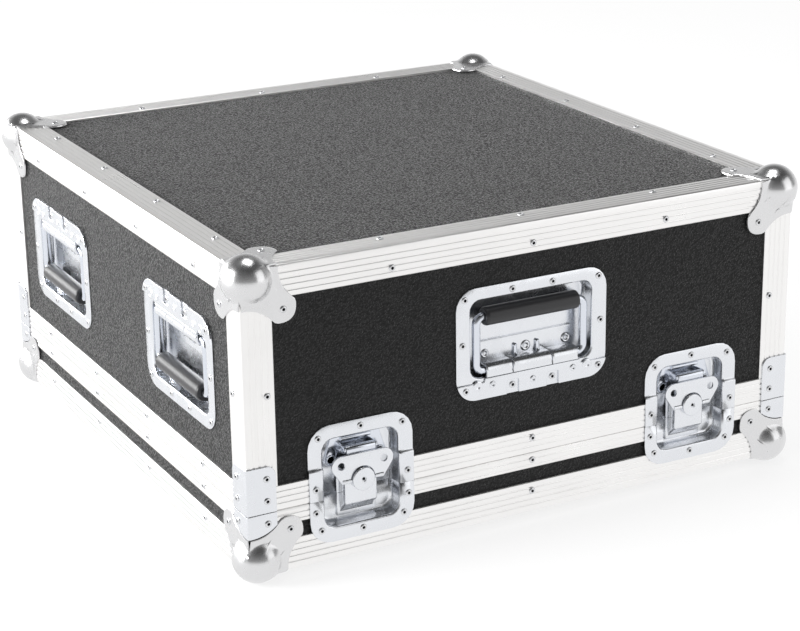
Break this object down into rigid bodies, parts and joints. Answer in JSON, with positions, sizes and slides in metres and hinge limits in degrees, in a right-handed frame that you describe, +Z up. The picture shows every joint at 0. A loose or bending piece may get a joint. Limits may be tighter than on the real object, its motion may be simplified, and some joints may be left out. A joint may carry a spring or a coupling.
{
  "type": "equipment flight case",
  "caption": "Lift-off hood case for a mixing desk: grained black panels, ribbed aluminium edges, ball corners, recessed butterfly latches and sprung bail handles.",
  "frame": {"origin": "under the middle of the case, on the ground that the four bottom balls stand on", "axes": "+X across the width, +Y from the front with its latches and handle to the back, +Z up"},
  "size_m": [0.5998, 0.6238, 0.305],
  "materials": {
    "laminated_plywood": "black plastic-coated plywood with a leather grain",
    "aluminium_profile": "satin anodised, ribbed along its length",
    "zinc_steel": "bright zinc-plated pressed steel",
    "grip_rubber": "smooth matt",
    "foam": "closed-cell foam sheet"
  },
  "bodies": {
    "tray": {"tray_back_panel": "laminated_plywood", "tray_ball_corners": "zinc_steel", "tray_bottom_edges_deep": "aluminium_profile", "tray_bottom_edges_wide": "aluminium_profile", "tray_corner_braces": "zinc_steel", "tray_floor_panel": "laminated_plywood", "tray_foam": "foam", "tray_front_panel": "laminated_plywood", "tray_left_panel": "laminated_plywood", "tray_right_panel": "laminated_plywood", "tray_rims_deep": "aluminium_profile", "tray_rims_wide": "aluminium_profile", "latch_lower_dishes": "zinc_steel", "latch_bodies": "zinc_steel"},
    "hood": {"hood_back_panel": "laminated_plywood", "hood_ball_corners": "zinc_steel", "hood_corner_braces": "zinc_steel", "hood_corner_posts": "aluminium_profile", "hood_front_panel": "laminated_plywood", "hood_left_panel": "laminated_plywood", "hood_right_panel": "laminated_plywood", "hood_rims_deep": "aluminium_profile", "hood_rims_wide": "aluminium_profile", "hood_top_edges_deep": "aluminium_profile", "hood_top_edges_wide": "aluminium_profile", "hood_top_foam": "foam", "hood_top_panel": "laminated_plywood", "hood_wall_foam": "foam", "latch_upper_dishes": "zinc_steel", "latch_keepers": "zinc_steel", "handle_dishes": "zinc_steel", "handle_straps": "zinc_steel", "handle_springs": "zinc_steel"},
    "latch_1_spindle": {"latch_1_spindle": "zinc_steel"},
    "latch_1_wing": {"latch_1_wing": "zinc_steel"},
    "latch_1_claw": {"latch_1_claw": "zinc_steel"},
    "latch_2_spindle": {"latch_2_spindle": "zinc_steel"},
    "latch_2_wing": {"latch_2_wing": "zinc_steel"},
    "latch_2_claw": {"latch_2_claw": "zinc_steel"},
    "latch_3_spindle": {"latch_3_spindle": "zinc_steel"},
    "latch_3_wing": {"latch_3_wing": "zinc_steel"},
    "latch_3_claw": {"latch_3_claw": "zinc_steel"},
    "latch_4_spindle": {"latch_4_spindle": "zinc_steel"},
    "latch_4_wing": {"latch_4_wing": "zinc_steel"},
    "latch_4_claw": {"latch_4_claw": "zinc_steel"},
    "handle_1": {"handle_1_bail": "zinc_steel", "handle_1_grip": "grip_rubber"},
    "handle_2": {"handle_2_bail": "zinc_steel", "handle_2_grip": "grip_rubber"},
    "handle_3": {"handle_3_bail": "zinc_steel", "handle_3_grip": "grip_rubber"},
    "handle_4": {"handle_4_bail": "zinc_steel", "handle_4_grip": "grip_rubber"},
    "handle_5": {"handle_5_bail": "zinc_steel", "handle_5_grip": "grip_rubber"}
  },
  "joints": [
    {"name": "hood_lift", "type": "slide", "parent": "tray", "child": "hood", "axis": [0, 0, 1], "range_m": [0, 0.32]},
    {"name": "latch_1_turn", "type": "hinge", "parent": "tray", "child": "latch_1_spindle", "pos_m": [-0.178, -0.302, 0.0833], "axis": [0, -1, 0], "range_deg": [0, 180]},
    {"name": "latch_1_wing_fold", "type": "hinge", "parent": "latch_1_spindle", "child": "latch_1_wing", "pos_m": [-0.178, -0.3038, 0.0833], "axis": [1, 0, 0], "range_deg": [0, 90]},
    {"name": "latch_1_claw_lift", "type": "slide", "parent": "tray", "child": "latch_1_claw", "axis": [0, 0, 1], "range_m": [0, 0.005]},
    {"name": "latch_2_turn", "type": "hinge", "parent": "tray", "child": "latch_2_spindle", "pos_m": [0.178, -0.302, 0.0833], "axis": [0, -1, 0], "range_deg": [0, 180]},
    {"name": "latch_2_wing_fold", "type": "hinge", "parent": "latch_2_spindle", "child": "latch_2_wing", "pos_m": [0.178, -0.3038, 0.0833], "axis": [1, 0, 0], "range_deg": [0, 90]},
    {"name": "latch_2_claw_lift", "type": "slide", "parent": "tray", "child": "latch_2_claw", "axis": [0, 0, 1], "range_m": [0, 0.005]},
    {"name": "latch_3_turn", "type": "hinge", "parent": "tray", "child": "latch_3_spindle", "pos_m": [0.178, 0.302, 0.0833], "axis": [0, 1, 0], "range_deg": [0, 180]},
    {"name": "latch_3_wing_fold", "type": "hinge", "parent": "latch_3_spindle", "child": "latch_3_wing", "pos_m": [0.178, 0.3038, 0.0833], "axis": [-1, 0, 0], "range_deg": [0, 90]},
    {"name": "latch_3_claw_lift", "type": "slide", "parent": "tray", "child": "latch_3_claw", "axis": [0, 0, 1], "range_m": [0, 0.005]},
    {"name": "latch_4_turn", "type": "hinge", "parent": "tray", "child": "latch_4_spindle", "pos_m": [-0.178, 0.302, 0.0833], "axis": [0, 1, 0], "range_deg": [0, 180]},
    {"name": "latch_4_wing_fold", "type": "hinge", "parent": "latch_4_spindle", "child": "latch_4_wing", "pos_m": [-0.178, 0.3038, 0.0833], "axis": [-1, 0, 0], "range_deg": [0, 90]},
    {"name": "latch_4_claw_lift", "type": "slide", "parent": "tray", "child": "latch_4_claw", "axis": [0, 0, 1], "range_m": [0, 0.005]},
    {"name": "handle_1_swing", "type": "hinge", "parent": "hood", "child": "handle_1", "pos_m": [0, -0.2968, 0.1595], "axis": [1, 0, 0], "range_deg": [0, 90], "stiffness_Nm_per_rad": 0.08, "springref_deg": -34.38},
    {"name": "handle_2_swing", "type": "hinge", "parent": "hood", "child": "handle_2", "pos_m": [-0.2848, 0.156, 0.204], "axis": [0, 1, 0], "range_deg": [0, 90], "stiffness_Nm_per_rad": 0.08, "springref_deg": -34.38},
    {"name": "handle_3_swing", "type": "hinge", "parent": "hood", "child": "handle_3", "pos_m": [-0.2848, -0.156, 0.204], "axis": [0, 1, 0], "range_deg": [0, 90], "stiffness_Nm_per_rad": 0.08, "springref_deg": -34.38},
    {"name": "handle_4_swing", "type": "hinge", "parent": "hood", "child": "handle_4", "pos_m": [0.2848, -0.156, 0.204], "axis": [0, -1, 0], "range_deg": [0, 90], "stiffness_Nm_per_rad": 0.08, "springref_deg": -34.38},
    {"name": "handle_5_swing", "type": "hinge", "parent": "hood", "child": "handle_5", "pos_m": [0.2848, 0.156, 0.204], "axis": [0, -1, 0], "range_deg": [0, 90], "stiffness_Nm_per_rad": 0.08, "springref_deg": -34.38}
  ],
  "couplings": [
    {"joint": "latch_1_turn", "follows": "latch_1_claw_lift", "rad_per_m": 628.3},
    {"joint": "latch_2_turn", "follows": "latch_2_claw_lift", "rad_per_m": 628.3},
    {"joint": "latch_3_turn", "follows": "latch_3_claw_lift", "rad_per_m": 628.3},
    {"joint": "latch_4_turn", "follows": "latch_4_claw_lift", "rad_per_m": 628.3}
  ]
}
